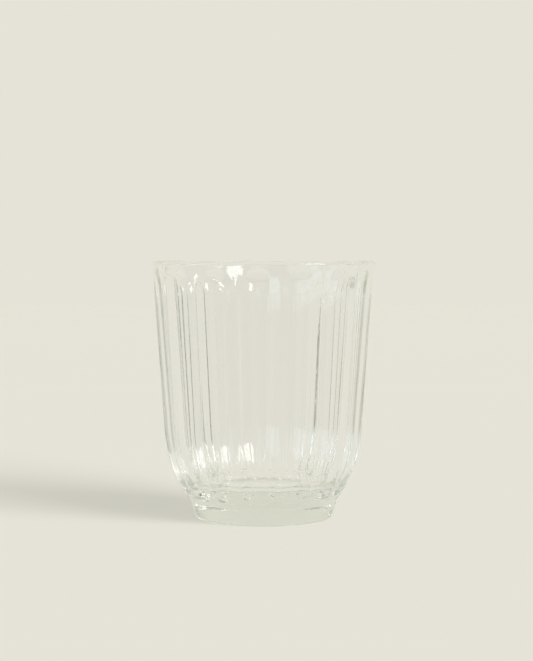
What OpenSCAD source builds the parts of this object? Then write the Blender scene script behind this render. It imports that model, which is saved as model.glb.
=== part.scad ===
// Fluted tea glass: a tapered bowl with arched flutes, standing on a plain round foot.
// Millimetres, +Z up. The origin is the middle of the ring that the glass stands on.

/* [Overall] */
// Height of the glass, from the table to the top of the rim
glass_h = 91.8; // [78:0.2:120]
// Diameter over the rim
rim_d = 80; // [74:1:90]

/* [Bowl] */
// Thickness of the wall at the rim
wall_t = 2.8; // [2.4:0.1:3.6]
// Lean of the outside of the wall from the vertical, in degrees
outside_lean = 4.2; // [3:0.1:5]
// Lean of the inside of the wall, a little more so that the wall thickens downwards
inside_lean = 4.7; // [4.5:0.1:5.5]
// Radius of the curve that draws the wall in to the foot
outside_curve_r = 49.5; // [46:0.5:60]
// Radius of the same curve on the inside
inside_curve_r = 45; // [40:1:50]
// Radius of the hollow neck between the outside curve and the foot
neck_r = 2; // [1:0.5:5]
// Radius between the inside curve and the floor
floor_corner_r = 6; // [4:0.5:8]
// Height of the floor inside, above the table
floor_h = 13; // [11:0.5:16]

/* [Flutes] */
// Number of flutes round the bowl
flute_n = 16; // [12:1:20]
// Depth of a flute at its middle; the flutes meet at ridges that have the full thickness
flute_depth = 1.5; // [0.6:0.1:1.6]
// Height of the arch at the top of a flute
crown_arch_h = 10; // [6:0.5:12]
// Height of the arch at the bottom of a flute
end_arch_h = 3; // [2:0.5:6]
// Smooth band between the top of the rim and the crowns of the arches
rim_band = 2.4; // [2:0.1:8]
// Smooth band between the lower ends of the flutes and the neck, measured along the curve
foot_band = 2.9; // [0.3:0.1:5]
// Turn of the flutes round the bowl, in degrees
flute_phase = 8.5; // [-15:0.5:15]

/* [Foot] */
// Diameter of the top of the foot, where the bowl stands on it
foot_d = 52.2; // [50:0.2:56]
// Height of the foot
foot_h = 6; // [5:0.1:8]
// Lean of the side of the foot, which narrows downwards, in degrees
foot_lean = 16; // [0:1:20]
// Radius of the foot's lower edge
foot_edge_r = 1.5; // [1:0.1:2.5]
// Diameter of the hollow under the foot
punt_d = 36; // [28:1:38]
// Depth of the hollow under the foot
punt_h = 1.2; // [0.6:0.1:2]

/* [Hidden] */
$fn = 96;

glass_colour = [0.86, 0.90, 0.85, 0.45];

// Steps of the bowl's mesh: across a flute, along an arch and round each curve of the section
flute_steps = 8;
arch_steps = 5;
curve_steps = 7;
neck_steps = 3;
corner_steps = 4;
rim_steps = 6;

foot_r = foot_d / 2;
// The middle of the rounded rim, from which both sides of the wall are measured
rim_c = [rim_d / 2 - wall_t / 2, glass_h - wall_t / 2];

// Directions in the section: down a wall that leans by a, and square out from it
function down(a) = [-sin(a), -cos(a)];
function out(a) = [cos(a), -sin(a)];
// Length along a curve of radius r for a turn of a, and the turn for a length
function arc_length(r, a) = r * a * PI / 180;
function arc_turn(r, length) = length / r * 180 / PI;

// Middle of the neck's hollow, which starts on the edge of the foot and follows on from its side
neck_c = [foot_r, foot_h] + out(foot_lean) * neck_r;

// Outside of the wall: a line from the rim, then an arc that meets it smoothly and touches the neck
outside_top = rim_c + out(outside_lean) * wall_t / 2;
centre_top = outside_top - out(outside_lean) * outside_curve_r - neck_c;
centre_drop = centre_top * down(outside_lean);
touch_r = outside_curve_r + neck_r;
straight_run = -centre_drop - sqrt(pow(centre_drop, 2) - centre_top * centre_top + pow(touch_r, 2));
outside_c = neck_c + centre_top + down(outside_lean) * straight_run;
neck_lean = asin((outside_c[1] - neck_c[1]) / touch_r);
outside_run = straight_run + arc_length(outside_curve_r, neck_lean - outside_lean);

// The lean and the place of the outside of the wall, a given run down it from the rim
function lean_at(run) = outside_lean + arc_turn(outside_curve_r, max(0, run - straight_run));
function outside_at(run) = run <= straight_run
    ? outside_top + down(outside_lean) * run
    : outside_c + out(lean_at(run)) * outside_curve_r;

// Inside of the wall: a line from the rim, an arc and the corner of the floor, all meeting smoothly
inside_top = rim_c - out(inside_lean) * wall_t / 2;
inside_run = (inside_top - outside_at(straight_run)) * [0, 1] / cos(inside_lean);
inside_c = inside_top + down(inside_lean) * inside_run - out(inside_lean) * inside_curve_r;
corner_z = floor_h + floor_corner_r;
corner_turn = asin((inside_c[1] - corner_z) / (inside_curve_r - floor_corner_r));
corner_c = inside_c + out(corner_turn) * (inside_curve_r - floor_corner_r);

// Runs down the wall of a flute's straight stretch, between the two arches that end it
crown_run = (rim_band - wall_t / 2) / cos(outside_lean) + crown_arch_h;
end_run = outside_run - foot_band - end_arch_h;

// Depth of a flute, a given run down the wall and a given share of the pitch from its middle
function flute_cut(run, share) =
    let (beyond = max(0, (crown_run - run) / crown_arch_h, (run - end_run) / end_arch_h))
    flute_depth * max(0, 1 - pow(2 * share, 2) - pow(beyond, 2));

// Runs at which the outside has a ring of points, from the neck up to the rim
outside_runs = concat(
    [outside_run],
    [for (i = [arch_steps : -1 : 1]) end_run + end_arch_h * sin(90 * i / arch_steps)],
    [for (i = [curve_steps : -1 : 0]) straight_run + (end_run - straight_run) * i / curve_steps],
    [for (i = [0 : arch_steps]) crown_run - crown_arch_h * sin(90 * i / arch_steps)]);

// Section of the neck, from the edge of the foot up to the outside curve
neck_section = [for (i = [0 : neck_steps - 1])
    neck_c - out(foot_lean + (neck_lean - foot_lean) * i / neck_steps) * neck_r];

// Section of the rest of the bowl, from the outside of the rim over it and down to the floor
inside_section = concat(
    [for (i = [0 : rim_steps])
        rim_c + out(-i * (180 - inside_lean + outside_lean) / rim_steps + outside_lean) * wall_t / 2],
    [for (i = [0 : curve_steps])
        inside_c + out(inside_lean + (corner_turn - inside_lean) * i / curve_steps) * inside_curve_r],
    [for (i = [1 : corner_steps])
        corner_c + out(corner_turn + (90 - corner_turn) * i / corner_steps) * floor_corner_r]);

// A point of the section turned to its place round the axis
function turned(point, angle) = [point[0] * cos(angle), point[0] * sin(angle), point[1]];

// Columns of points round the bowl, the first of each flute on a ridge
columns = flute_n * flute_steps;
function column_angle(i) = flute_phase + i * 360 / columns;
function column_share(i) = (i % flute_steps) / flute_steps - 0.5;

function plain_rings(section) = [for (point = section) [for (i = [0 : columns - 1])
    turned(point, column_angle(i))]];
fluted_rings = [for (run = outside_runs) [for (i = [0 : columns - 1])
    turned(outside_at(run) - out(lean_at(run)) * flute_cut(run, column_share(i)), column_angle(i))]];

module bowl() {
    rings = concat(plain_rings(neck_section), fluted_rings, plain_rings(inside_section));
    last = len(rings) - 1;
    points = [for (ring = rings) each ring];
    sides = [for (j = [0 : last - 1], i = [0 : columns - 1])
        let (next = (i + 1) % columns)
        [j * columns + i, (j + 1) * columns + i, (j + 1) * columns + next, j * columns + next]];
    seat = [for (i = [0 : columns - 1]) i];
    floor_face = [for (i = [columns - 1 : -1 : 0]) last * columns + i];
    color(glass_colour)
        polyhedron(points, concat(sides, [seat, floor_face]));
}

module foot() {
    side_run = (foot_h - foot_edge_r * (1 - sin(foot_lean))) / cos(foot_lean);
    side_end = [foot_r, foot_h] + down(foot_lean) * side_run;
    edge_c = side_end - out(foot_lean) * foot_edge_r;
    color(glass_colour)
        difference() {
            rotate_extrude() {
                polygon([[0, 0], [edge_c[0], 0], edge_c, side_end, [foot_r, foot_h], [0, foot_h]]);
                translate(edge_c)
                    circle(r = foot_edge_r);
            }
            punt();
        }
}

// Shallow dome hollowed out under the foot
module punt() {
    dome_r = (pow(punt_d / 2, 2) + pow(punt_h, 2)) / (2 * punt_h);
    translate([0, 0, punt_h - dome_r])
        sphere(r = dome_r);
}

bowl();
foot();
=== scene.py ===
import math

import bmesh
import bpy
import numpy as np
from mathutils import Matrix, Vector


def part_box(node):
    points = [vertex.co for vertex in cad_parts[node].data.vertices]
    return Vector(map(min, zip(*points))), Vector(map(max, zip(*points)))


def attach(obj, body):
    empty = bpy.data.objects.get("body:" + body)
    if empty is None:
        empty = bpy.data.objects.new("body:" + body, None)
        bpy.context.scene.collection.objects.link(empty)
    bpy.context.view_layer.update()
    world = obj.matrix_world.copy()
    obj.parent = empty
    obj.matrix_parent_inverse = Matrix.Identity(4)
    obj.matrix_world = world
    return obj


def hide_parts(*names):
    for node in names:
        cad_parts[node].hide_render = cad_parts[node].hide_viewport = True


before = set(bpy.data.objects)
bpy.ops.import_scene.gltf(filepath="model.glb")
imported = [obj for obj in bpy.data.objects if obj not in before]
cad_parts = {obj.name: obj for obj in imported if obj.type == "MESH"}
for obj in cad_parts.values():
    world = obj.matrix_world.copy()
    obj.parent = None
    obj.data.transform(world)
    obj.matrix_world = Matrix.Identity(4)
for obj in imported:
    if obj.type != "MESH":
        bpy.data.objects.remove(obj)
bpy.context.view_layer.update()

# Lengths are in millimetres and angles in degrees, unless a comment says otherwise
MM = 0.001


def box_size(node):
    """Width of a round CAD node and the height of its top."""
    low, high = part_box(node)
    width = min(high.x - low.x, high.y - low.y)
    return width / MM, high.z / MM


# Sizes that the solids give
RIM_D, GLASS_H = box_size("bowl")
FOOT_D, FOOT_H = box_size("foot")

# Section of the glass
WALL_T = 2.8
OUTSIDE_LEAN = 4.2
INSIDE_LEAN = 4.7
OUTSIDE_CURVE_R = 49.5
INSIDE_CURVE_R = 45.0
NECK_R = 2.0
FLOOR_CORNER_R = 6.0
FLOOR_H = 13.0
FOOT_LEAN = 16.0
FOOT_EDGE_R = 1.5
PUNT_D = 36.0
PUNT_H = 1.2

# Flutes
FLUTE_N = 16
FLUTE_DEPTH = 1.5
FLUTE_PHASE = 8.5
CROWN_ARCH_H = 10.0
END_ARCH_H = 3.0
RIM_BAND = 2.4
FOOT_BAND = 2.9
# Share of the depth over which a flute's edge is rounded, and what is added to it by the end of an arch
FLUTE_SOFTNESS = 0.045
ARCH_SOFTNESS = 0.22

# Fineness of the mesh: columns in a flute and in all, and points along each stretch of the section
FLUTE_COLUMNS = 20
COLUMNS = FLUTE_N * FLUTE_COLUMNS
PUNT_POINTS = 14
FOOT_EDGE_POINTS = 14
FOOT_SIDE_POINTS = 6
NECK_POINTS = 10
OUTSIDE_CURVE_POINTS = 70
OUTSIDE_LINE_POINTS = 24
CROWN_POINTS = 50
RIM_POINTS = 16
INSIDE_LINE_POINTS = 24
INSIDE_CURVE_POINTS = 40
FLOOR_CORNER_POINTS = 18
FLOOR_POINTS = 12
# Stretch under the crown arches with points as close as theirs, and the radius of the innermost rings
CROWN_MARGIN = 2.0
CENTRE_R = 0.5


def down(angle):
    """Direction down a wall that leans by an angle, in the section's plane."""
    return np.array([-math.sin(math.radians(angle)), -math.cos(math.radians(angle))])


def out(angle):
    """Direction square out from that wall."""
    return np.array([math.cos(math.radians(angle)), -math.sin(math.radians(angle))])


def arc(centre, radius, start, end, count):
    """Points of an arc in the section, from one lean to another."""
    return [centre + out(angle) * radius for angle in np.linspace(start, end, count)]


# Outside of the wall: a line from the rim, then an arc that touches the neck's hollow over the foot
rim_centre = np.array([RIM_D / 2 - WALL_T / 2, GLASS_H - WALL_T / 2])
outside_top = rim_centre + out(OUTSIDE_LEAN) * WALL_T / 2
foot_top = np.array([FOOT_D / 2, FOOT_H])
neck_centre = foot_top + out(FOOT_LEAN) * NECK_R
centre_top = outside_top - out(OUTSIDE_LEAN) * OUTSIDE_CURVE_R - neck_centre
centre_drop = centre_top @ down(OUTSIDE_LEAN)
touch_r = OUTSIDE_CURVE_R + NECK_R
straight_run = -centre_drop - math.sqrt(centre_drop ** 2 - centre_top @ centre_top + touch_r ** 2)
outside_centre = neck_centre + centre_top + down(OUTSIDE_LEAN) * straight_run
neck_lean = math.degrees(math.asin((outside_centre - neck_centre)[1] / touch_r))
outside_run = straight_run + OUTSIDE_CURVE_R * math.radians(neck_lean - OUTSIDE_LEAN)


def lean_at(run):
    """Lean of the outside, a given run down it from the rim."""
    return OUTSIDE_LEAN + math.degrees(max(0, run - straight_run) / OUTSIDE_CURVE_R)


def outside_at(run):
    """Place of the outside, a given run down it from the rim."""
    if run <= straight_run:
        return outside_top + down(OUTSIDE_LEAN) * run
    return outside_centre + out(lean_at(run)) * OUTSIDE_CURVE_R


# Inside of the wall: a line from the rim, an arc and the corner of the floor
inside_top = rim_centre - out(INSIDE_LEAN) * WALL_T / 2
inside_run = (inside_top - outside_at(straight_run))[1] / math.cos(math.radians(INSIDE_LEAN))
inside_centre = inside_top + down(INSIDE_LEAN) * inside_run - out(INSIDE_LEAN) * INSIDE_CURVE_R
corner_rise = inside_centre[1] - FLOOR_H - FLOOR_CORNER_R
corner_turn = math.degrees(math.asin(corner_rise / (INSIDE_CURVE_R - FLOOR_CORNER_R)))
corner_centre = inside_centre + out(corner_turn) * (INSIDE_CURVE_R - FLOOR_CORNER_R)

# Runs between which a flute is straight, with an arch beyond each
crown_run = (RIM_BAND - WALL_T / 2) / math.cos(math.radians(OUTSIDE_LEAN)) + CROWN_ARCH_H
end_run = outside_run - FOOT_BAND - END_ARCH_H


def flute_cut(run, share):
    """Depth of the flutes, a given run down the wall and given shares of the pitch from their middles."""
    beyond = max(0, (crown_run - run) / CROWN_ARCH_H, (run - end_run) / END_ARCH_H)
    sharp_cut = 1 - (2 * share) ** 2 - beyond ** 2
    softness = FLUTE_SOFTNESS + ARCH_SOFTNESS * beyond
    return FLUTE_DEPTH * softness * np.log1p(np.exp(sharp_cut / softness))


def foot_section():
    """Points of the foot and the neck, from the middle of the hollow under the foot to the bowl."""
    dome_r = ((PUNT_D / 2) ** 2 + PUNT_H ** 2) / (2 * PUNT_H)
    side_rise = FOOT_EDGE_R * (1 - math.sin(math.radians(FOOT_LEAN)))
    side_run = (FOOT_H - side_rise) / math.cos(math.radians(FOOT_LEAN))
    edge_centre = foot_top + down(FOOT_LEAN) * side_run - out(FOOT_LEAN) * FOOT_EDGE_R
    points = []
    for radius in np.linspace(CENTRE_R, PUNT_D / 2, PUNT_POINTS):
        points.append((radius, PUNT_H - dome_r + math.sqrt(dome_r ** 2 - radius ** 2)))
    points += arc(edge_centre, FOOT_EDGE_R, 90, FOOT_LEAN, FOOT_EDGE_POINTS)
    for run in np.linspace(side_run, 0, FOOT_SIDE_POINTS)[1:-1]:
        points.append(foot_top + down(FOOT_LEAN) * run)
    # The neck is hollow, so its radius points inwards
    points += arc(neck_centre, -NECK_R, FOOT_LEAN, neck_lean, NECK_POINTS)[:-1]
    return [(radius, max(0, height)) for radius, height in points]


def inside_section():
    """Points from the outside of the rim over it and down the inside to the middle of the floor."""
    points = arc(rim_centre, WALL_T / 2, OUTSIDE_LEAN, INSIDE_LEAN - 180, RIM_POINTS)[1:]
    for run in np.linspace(0, inside_run, INSIDE_LINE_POINTS)[1:-1]:
        points.append(inside_top + down(INSIDE_LEAN) * run)
    points += arc(inside_centre, INSIDE_CURVE_R, INSIDE_LEAN, corner_turn, INSIDE_CURVE_POINTS)
    points += arc(corner_centre, FLOOR_CORNER_R, corner_turn, 90, FLOOR_CORNER_POINTS)[1:]
    for radius in np.linspace(corner_centre[0], CENTRE_R, FLOOR_POINTS)[1:]:
        points.append((radius, FLOOR_H))
    return points


def fluted_runs():
    """Runs of the rings on the outside, from the foot up to the rim, close together at the arches."""
    crown_end = crown_run + CROWN_MARGIN
    return np.concatenate([
        np.linspace(outside_run, straight_run, OUTSIDE_CURVE_POINTS),
        np.linspace(straight_run, crown_end, OUTSIDE_LINE_POINTS)[1:],
        np.linspace(crown_end, 0, CROWN_POINTS)[1:]])


def plain_rings(section):
    """Radius and height of each point, ring by ring, where the glass is round."""
    level = np.ones(COLUMNS)
    return [(radius * level, height * level) for radius, height in section]


def fluted_rings():
    """Radius and height of each point, ring by ring, on the outside of the wall."""
    share = np.arange(COLUMNS) % FLUTE_COLUMNS / FLUTE_COLUMNS - 0.5
    rings = []
    for run in fluted_runs():
        cut = flute_cut(run, share)
        place = outside_at(run)
        square = out(lean_at(run))
        rings.append((place[0] - square[0] * cut, place[1] - square[1] * cut))
    return rings


def glass_piece():
    """The bowl and the foot as one closed mesh of clear glass, with a layer that marks the outside."""
    outside_rings = plain_rings(foot_section()) + fluted_rings()
    rings = outside_rings + plain_rings(inside_section())
    angles = np.arange(COLUMNS) / COLUMNS * 2 * math.pi + math.radians(FLUTE_PHASE)
    shell = bmesh.new()
    outside = shell.verts.layers.float.new("outside")
    rows = []
    for radius, height in rings:
        places = zip(radius * np.cos(angles) * MM, radius * np.sin(angles) * MM, height * MM)
        row = [shell.verts.new(place) for place in places]
        for point in row:
            point[outside] = float(len(rows) < len(outside_rings))
        rows.append(row)
    for lower, upper in zip(rows, rows[1:]):
        for i in range(COLUMNS):
            after = (i + 1) % COLUMNS
            shell.faces.new((lower[i], lower[after], upper[after], upper[i]))
    for row, height in ((rows[0], PUNT_H), (rows[-1], FLOOR_H)):
        centre = shell.verts.new((0, 0, height * MM))
        for i in range(COLUMNS):
            shell.faces.new((row[i], row[(i + 1) % COLUMNS], centre))
    bmesh.ops.recalc_face_normals(shell, faces=shell.faces)
    mesh = bpy.data.meshes.new("glass")
    shell.to_mesh(mesh)
    shell.free()
    mesh.polygons.foreach_set("use_smooth", [True] * len(mesh.polygons))
    piece = bpy.data.objects.new("glass", mesh)
    bpy.context.scene.collection.objects.link(piece)
    return piece


def ramp(tree, value, start, end):
    """A value as a share of the way from a start to an end, held at 0 and 1 beyond them."""
    node = tree.nodes.new("ShaderNodeMapRange")
    node.inputs["From Min"].default_value = start
    node.inputs["From Max"].default_value = end
    tree.links.new(value, node.inputs["Value"])
    return node.outputs["Result"]


def combined(tree, operation, first, second):
    """Two values put together by an operation."""
    node = tree.nodes.new("ShaderNodeMath")
    node.operation = operation
    tree.links.new(first, node.inputs[0])
    tree.links.new(second, node.inputs[1])
    return node.outputs["Value"]


def vector_node(tree, operation, vector):
    """A node that works on a vector."""
    node = tree.nodes.new("ShaderNodeVectorMath")
    node.operation = operation
    tree.links.new(vector, node.inputs[0])
    return node


def mixed(tree, share, first, second):
    """Two shaders mixed, with a share of the second."""
    node = tree.nodes.new("ShaderNodeMixShader")
    tree.links.new(share, node.inputs[0])
    tree.links.new(first, node.inputs[1])
    tree.links.new(second, node.inputs[2])
    return node.outputs["Shader"]


# Ripples: the number and height of those round the wall, and the pitch and height of those on the foot
WALL_RIPPLES = 110
WALL_RIPPLE_H = 0.04
FOOT_RIPPLE_PITCH = 2.0
FOOT_RIPPLE_H = 0.1
# Octaves of finer noise in a ripple
RIPPLE_DETAIL = 2.0


def bump_node(tree, place, scale, height, strength):
    """A bump of soft noise, of a scale and a height, where its strength is above 0."""
    noise = tree.nodes.new("ShaderNodeTexNoise")
    noise.inputs["Scale"].default_value = scale
    noise.inputs["Detail"].default_value = RIPPLE_DETAIL
    bump = tree.nodes.new("ShaderNodeBump")
    bump.inputs["Distance"].default_value = height * MM
    tree.links.new(place, noise.inputs["Vector"])
    tree.links.new(noise.outputs["Fac"], bump.inputs["Height"])
    tree.links.new(strength, bump.inputs["Strength"])
    return bump


def ripples(tree):
    """Upright ripples on the outside of the wall, and level ones on the foot and under it."""
    place = tree.nodes.new("ShaderNodeTexCoord").outputs["Object"]
    axes = tree.nodes.new("ShaderNodeSeparateXYZ")
    tree.links.new(place, axes.inputs["Vector"])
    height = axes.outputs["Z"]
    flat = vector_node(tree, "MULTIPLY", place)
    flat.inputs[1].default_value = (1, 1, 0)

    outside = tree.nodes.new("ShaderNodeAttribute")
    outside.attribute_name = "outside"
    corner_middle = FLOOR_H + FLOOR_CORNER_R / 2
    corner_top = FLOOR_H + FLOOR_CORNER_R
    on_wall = ramp(tree, height, corner_middle * MM, corner_top * MM)
    on_outside = combined(tree, "MULTIPLY", on_wall, outside.outputs["Fac"])
    around = vector_node(tree, "NORMALIZE", flat.outputs["Vector"])
    wall_scale = WALL_RIPPLES / (2 * math.pi)
    wall = bump_node(tree, around.outputs["Vector"], wall_scale, WALL_RIPPLE_H, on_outside)

    radius = vector_node(tree, "LENGTH", flat.outputs["Vector"])
    section = tree.nodes.new("ShaderNodeCombineXYZ")
    tree.links.new(radius.outputs["Value"], section.inputs["X"])
    tree.links.new(height, section.inputs["Y"])
    on_foot = ramp(tree, height, (FOOT_H + NECK_R) * MM, FOOT_H * MM)
    foot_scale = 1 / (FOOT_RIPPLE_PITCH * MM)
    foot = bump_node(tree, section.outputs["Vector"], foot_scale, FOOT_RIPPLE_H, on_foot)
    tree.links.new(wall.outputs["Normal"], foot.inputs["Normal"])
    return foot.outputs["Normal"]


# Glass: the colour and density of its body, and the share of the light that its shadow lets through
GLASS_IOR = 1.52
BODY_COLOUR = (0.767, 0.80, 0.733)
BODY_DENSITY = 12.0
SHADOW_LIGHT = 0.84


def glass_material():
    """Clear pressed soda-lime glass with a faint green body and the fine ripples of the mould."""
    material = bpy.data.materials.new("clear_glass")
    material.use_nodes = True
    tree = material.node_tree
    output = tree.nodes["Material Output"]
    surface = tree.nodes["Principled BSDF"]
    surface.inputs["Base Color"].default_value = (1, 1, 1, 1)
    surface.inputs["Roughness"].default_value = 0.0
    surface.inputs["IOR"].default_value = GLASS_IOR
    surface.inputs["Transmission Weight"].default_value = 1.0
    tree.links.new(ripples(tree), surface.inputs["Normal"])

    body = tree.nodes.new("ShaderNodeVolumeAbsorption")
    body.inputs["Color"].default_value = (*BODY_COLOUR, 1)
    body.inputs["Density"].default_value = BODY_DENSITY
    tree.links.new(body.outputs["Volume"], output.inputs["Volume"])

    shadow = tree.nodes.new("ShaderNodeBsdfTransparent")
    shadow.inputs["Color"].default_value = (SHADOW_LIGHT, SHADOW_LIGHT, SHADOW_LIGHT, 1)
    paths = tree.nodes.new("ShaderNodeLightPath").outputs
    seen = mixed(tree, paths["Is Shadow Ray"], surface.outputs["BSDF"], shadow.outputs["BSDF"])
    tree.links.new(seen, output.inputs["Surface"])
    return material


# Table: the 8-bit sRGB colour that it shares with the backdrop, its size, and where it fades out
BACKDROP = (229, 227, 215)
TABLE_R = 3000
TABLE_SIDES = 96
FADE_START = 600
FADE_END = 2500


def linear(colour):
    """An 8-bit sRGB colour, none of it near black, as the linear colour that a shader takes."""
    return tuple(((c / 255 + 0.055) / 1.055) ** 2.4 for c in colour)


def table_material():
    """A dull pale table that fades into the backdrop, and looks evenly lit through the glass."""
    material = bpy.data.materials.new("table")
    material.use_nodes = True
    tree = material.node_tree
    surface = tree.nodes["Principled BSDF"]
    surface.inputs["Base Color"].default_value = (*linear(BACKDROP), 1)
    surface.inputs["Roughness"].default_value = 1.0
    surface.inputs["Specular IOR Level"].default_value = 0.0
    clear = tree.nodes.new("ShaderNodeBsdfTransparent")
    place = tree.nodes.new("ShaderNodeNewGeometry")
    distance = vector_node(tree, "LENGTH", place.outputs["Position"])
    fade = ramp(tree, distance.outputs["Value"], FADE_START * MM, FADE_END * MM)
    faded = mixed(tree, fade, surface.outputs["BSDF"], clear.outputs["BSDF"])

    even = tree.nodes.new("ShaderNodeEmission")
    even.inputs["Color"].default_value = (*linear(BACKDROP), 1)
    even.inputs["Strength"].default_value = 1.0
    paths = tree.nodes.new("ShaderNodeLightPath").outputs
    by_glass = combined(tree, "MAXIMUM", paths["Is Glossy Ray"], paths["Is Transmission Ray"])
    seen = mixed(tree, by_glass, faded, even.outputs["Emission"])
    tree.links.new(seen, tree.nodes["Material Output"].inputs["Surface"])
    return material


def floor_piece():
    """A wide round table top."""
    bpy.ops.mesh.primitive_circle_add(radius=TABLE_R * MM, fill_type="NGON", vertices=TABLE_SIDES)
    floor = bpy.context.object
    floor.name = "table"
    floor.data.materials.append(table_material())
    return floor


# Room that only the glass shows: the dark colour of the camera's side, and its turn to the right
CAMERA_SIDE = (0.01, 0.015, 0.002)
CAMERA_SIDE_TURN = 14
# Parts of a direction, away from the camera and up, between which the dark gives way to the backdrop
DARK_AWAY = -1.0
PALE_AWAY = 0.5
DARK_UP = 0.1
PALE_UP = 0.9

# Light: the share that comes evenly from all round, the key light for the rest, and the windows
AMBIENT = 0.55
KEY_AZIMUTH = 54
KEY_ELEVATION = 22
KEY_ANGLE = 34
WINDOW_DISTANCE = 1200


def room_colour(tree):
    """Colour of the room in each direction: dark low on the camera's side, else like the backdrop."""
    coordinate = tree.nodes.new("ShaderNodeTexCoord")
    turn = tree.nodes.new("ShaderNodeVectorRotate")
    turn.rotation_type = "Z_AXIS"
    turn.inputs["Angle"].default_value = math.radians(-CAMERA_SIDE_TURN)
    axes = tree.nodes.new("ShaderNodeSeparateXYZ")
    tree.links.new(coordinate.outputs["Generated"], turn.inputs["Vector"])
    tree.links.new(turn.outputs["Vector"], axes.inputs["Vector"])
    away = ramp(tree, axes.outputs["Y"], DARK_AWAY, PALE_AWAY)
    up = ramp(tree, axes.outputs["Z"], DARK_UP, PALE_UP)
    tone = tree.nodes.new("ShaderNodeMix")
    tone.data_type = "RGBA"
    tone.inputs["A"].default_value = (*CAMERA_SIDE, 1)
    tone.inputs["B"].default_value = (*linear(BACKDROP), 1)
    tree.links.new(combined(tree, "MAXIMUM", away, up), tone.inputs["Factor"])
    return tone.outputs["Result"]


def surroundings():
    """The room for the glass, even light for the table and a plain backdrop for the camera."""
    world = bpy.data.worlds.new("studio")
    bpy.context.scene.world = world
    world.use_nodes = True
    tree = world.node_tree
    room = tree.nodes["Background"]
    room.inputs["Strength"].default_value = 1.0
    tree.links.new(room_colour(tree), room.inputs["Color"])
    ambient = tree.nodes.new("ShaderNodeBackground")
    ambient.inputs["Color"].default_value = (1, 1, 1, 1)
    ambient.inputs["Strength"].default_value = AMBIENT
    behind = tree.nodes.new("ShaderNodeBackground")
    behind.inputs["Color"].default_value = (*linear(BACKDROP), 1)
    behind.inputs["Strength"].default_value = 1.0

    paths = tree.nodes.new("ShaderNodeLightPath").outputs
    lit = mixed(tree, paths["Is Diffuse Ray"], room.outputs["Background"], ambient.outputs["Background"])
    seen = mixed(tree, paths["Is Camera Ray"], lit, behind.outputs["Background"])
    tree.links.new(seen, tree.nodes["World Output"].inputs["Surface"])


def direction(azimuth, elevation):
    """Direction towards a light: azimuth 0 is on the camera's side, 90 on the right."""
    azimuth = math.radians(azimuth)
    elevation = math.radians(elevation)
    level = math.cos(elevation)
    return Vector((math.sin(azimuth) * level, -math.cos(azimuth) * level, math.sin(elevation)))


def lamp_piece(light, towards):
    """A light put into the scene and turned to shine from a direction."""
    lamp = bpy.data.objects.new(light.name, light)
    bpy.context.scene.collection.objects.link(lamp)
    lamp.rotation_euler = (-towards).to_track_quat("-Z", "Y").to_euler()
    return lamp


def key_light():
    """A broad sun that casts the soft shadow and makes up the rest of the light."""
    towards = direction(KEY_AZIMUTH, KEY_ELEVATION)
    light = bpy.data.lights.new("key", "SUN")
    light.angle = math.radians(KEY_ANGLE)
    light.energy = (1 - AMBIENT) * math.pi / towards.z
    lamp = lamp_piece(light, towards)
    lamp.visible_glossy = False
    lamp.visible_transmission = False


def window(name, azimuth, elevation, size, power, colour):
    """A window that shows as highlights in the glass and lights nothing else; its power is in watts."""
    towards = direction(azimuth, elevation)
    light = bpy.data.lights.new(name, "AREA")
    light.shape = "RECTANGLE"
    light.size = size[0] * MM
    light.size_y = size[1] * MM
    light.energy = power
    light.color = colour
    lamp = lamp_piece(light, towards)
    lamp.location = towards * WINDOW_DISTANCE * MM
    lamp.visible_diffuse = False
    lamp.visible_camera = False


# Camera: its distance and height, and the photo's size, axis and horizon in pixels, and pixels per mm
CAMERA_DISTANCE = 630
CAMERA_HEIGHT = 95.6
PHOTO_SIZE = (533, 661)
PHOTO_SCALE = 2.8
AXIS_X = 263.8
HORIZON_Y = 250
SENSOR = 36


def camera():
    """The camera at the photo's place, a little above the rim; its sensor spans the photo's height."""
    focal = CAMERA_DISTANCE * PHOTO_SCALE
    view = bpy.data.cameras.new("camera")
    view.sensor_width = SENSOR
    view.lens = focal * SENSOR / PHOTO_SIZE[1]
    holder = bpy.data.objects.new("camera", view)
    bpy.context.scene.collection.objects.link(holder)
    aside = (PHOTO_SIZE[0] / 2 - AXIS_X) / PHOTO_SCALE
    tilt = math.atan((PHOTO_SIZE[1] / 2 - HORIZON_Y) / focal)
    holder.location = (aside * MM, -CAMERA_DISTANCE * MM, CAMERA_HEIGHT * MM)
    holder.rotation_euler = (math.pi / 2 - tilt, 0, 0)
    bpy.context.scene.camera = holder


# Bounces that light may need to find its way out of the fluted walls
BOUNCES = 64

glass = glass_piece()
glass.data.materials.append(glass_material())
glass.visible_diffuse = False
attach(glass, "root")
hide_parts("bowl", "foot")

floor_piece()
surroundings()
key_light()
window("window_right", azimuth=56, elevation=35, size=(450, 380), power=4.4, colour=(0.93, 0.98, 1))
window("window_left", azimuth=-56, elevation=25, size=(1500, 560), power=3.2, colour=(0.6, 0.8, 1))
camera()

scene = bpy.context.scene
scene.view_settings.view_transform = "Standard"
scene.cycles.max_bounces = BOUNCES
scene.cycles.glossy_bounces = BOUNCES
scene.cycles.transmission_bounces = BOUNCES
